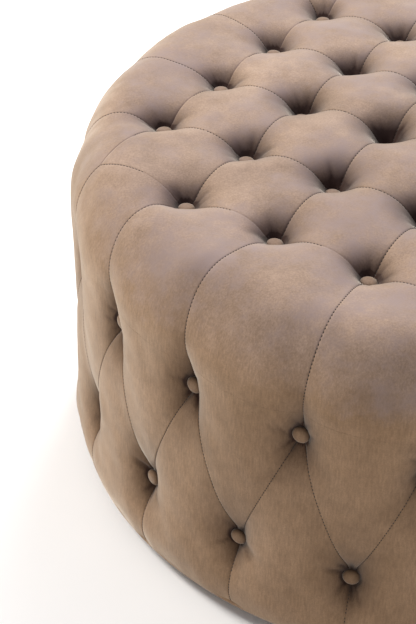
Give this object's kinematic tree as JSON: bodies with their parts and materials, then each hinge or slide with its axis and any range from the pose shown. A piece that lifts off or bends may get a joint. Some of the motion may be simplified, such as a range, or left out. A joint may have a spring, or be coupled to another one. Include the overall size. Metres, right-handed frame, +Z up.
{
  "type": "storage ottoman",
  "caption": "Round deep-buttoned velvet ottoman whose tufted top is a hinged lid over a lined storage tub, on low feet.",
  "frame": {"origin": "centre of the circle that the feet stand on, on the floor", "axes": "+Z up; hinges at the back, +Y; the lid's front edge at -Y; the grid of seat buttons is turned 45 degrees, so its corners lie on X and Y"},
  "size_m": [1, 1, 0.505],
  "materials": {
    "velvet": "cut-pile taupe velvet with a directional sheen",
    "foam": "open-cell upholstery foam",
    "batting": "polyester batting",
    "lining": "black non-woven lining",
    "felt": "pressed felt",
    "twine": "waxed tufting twine",
    "plywood": "unfinished birch plywood",
    "softwood": "planed softwood",
    "hardboard": "bent hardboard",
    "steel": "zinc-plated steel",
    "black_plastic": "moulded black plastic"
  },
  "bodies": {
    "drum": {"foot_glides": "felt", "feet": "black_plastic", "foot_screws": "steel", "dust_cover": "lining", "base_board": "plywood", "frame_posts": "softwood", "frame_screws": "steel", "top_ring": "plywood", "outer_wall": "hardboard", "tub_wall": "hardboard", "tub_lining": "lining", "tub_floor_lining": "lining", "body_foam": "foam", "body_batting": "batting", "body_cover": "velvet", "upper_side_buttons": "velvet", "lower_side_buttons": "velvet", "side_twine": "twine", "side_washers": "steel", "hinge_body_leaves": "steel", "hinge_pins": "steel", "hinge_body_screws": "steel"},
    "lid": {"lid_panel": "plywood", "lid_foam": "foam", "lid_batting": "batting", "lid_cover": "velvet", "seat_buttons": "velvet", "seat_twine": "twine", "seat_washers": "steel", "lid_lining": "lining", "hinge_lid_leaves": "steel", "hinge_lid_screws": "steel"}
  },
  "joints": [
    {"name": "lid_hinge", "type": "hinge", "parent": "drum", "child": "lid", "pos_m": [0, 0.4965, 0.37], "axis": [-1, 0, 0], "range_deg": [0, 90]}
  ]
}
